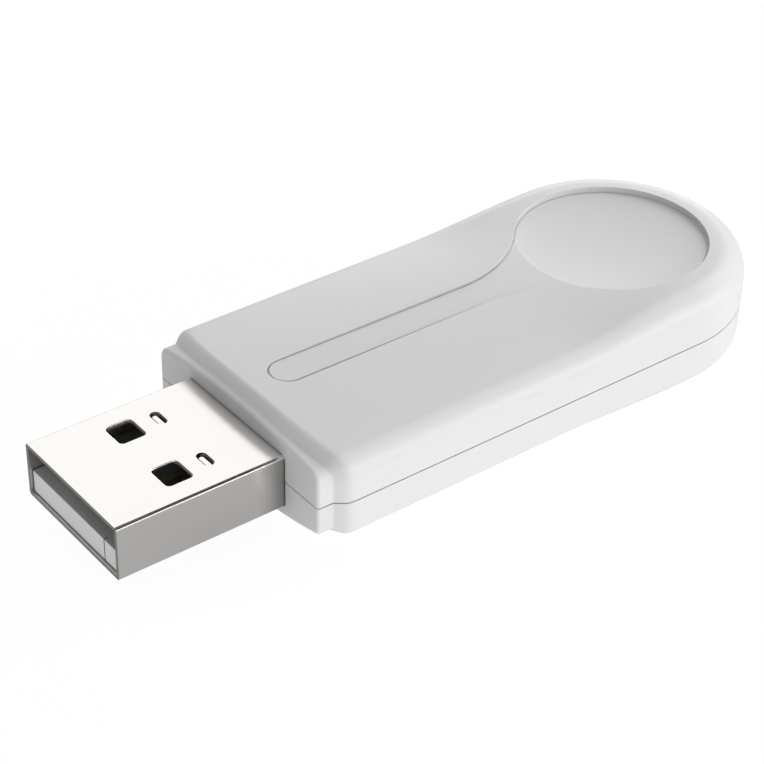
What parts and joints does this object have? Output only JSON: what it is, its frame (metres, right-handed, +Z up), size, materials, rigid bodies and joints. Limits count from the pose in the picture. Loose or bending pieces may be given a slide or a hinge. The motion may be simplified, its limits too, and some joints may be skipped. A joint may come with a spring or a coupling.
{
  "type": "usb wireless dongle",
  "caption": "Slim white plastic network dongle with a round dished tail, a finger channel along the top and a steel plug at the front.",
  "frame": {"origin": "under the middle of the bounding box, on the surface the dongle rests on", "axes": "+X across the dongle, +Y along it from the plug's mouth to the round tail, +Z up through the dished face"},
  "size_m": [0.0214, 0.0604, 0.0087],
  "materials": {
    "white_plastic": "smooth satin",
    "plug_steel": "bright rolled sheet",
    "tongue_plastic": "matt",
    "gold_contact": "gold flash",
    "board_laminate": "solder mask",
    "tinned_sheet": "bright tin",
    "black_moulding": "matt moulding",
    "dark_ceramic": "matt ceramic",
    "tan_ceramic": "matt ceramic",
    "white_ceramic": "matt ceramic"
  },
  "bodies": {
    "root": {"upper_housing": "white_plastic", "lower_housing": "white_plastic", "plug_shell": "plug_steel", "plug_insulator": "tongue_plastic", "contact_power": "gold_contact", "contact_data_minus": "gold_contact", "contact_data_plus": "gold_contact", "contact_ground": "gold_contact", "circuit_board": "board_laminate", "shield_can": "tinned_sheet", "radio_chip": "black_moulding", "surge_protector": "black_moulding", "voltage_regulator": "black_moulding", "memory_chip": "black_moulding", "ferrite_bead": "dark_ceramic", "power_inductor": "dark_ceramic", "matching_inductor": "dark_ceramic", "data_resistor_1": "black_moulding", "data_resistor_2": "black_moulding", "input_capacitor": "tan_ceramic", "output_capacitor": "tan_ceramic", "radio_capacitor_1": "tan_ceramic", "radio_capacitor_2": "tan_ceramic", "memory_capacitor": "tan_ceramic", "crystal": "tinned_sheet", "antenna_filter": "white_ceramic", "antenna": "white_ceramic"}
  },
  "joints": []
}
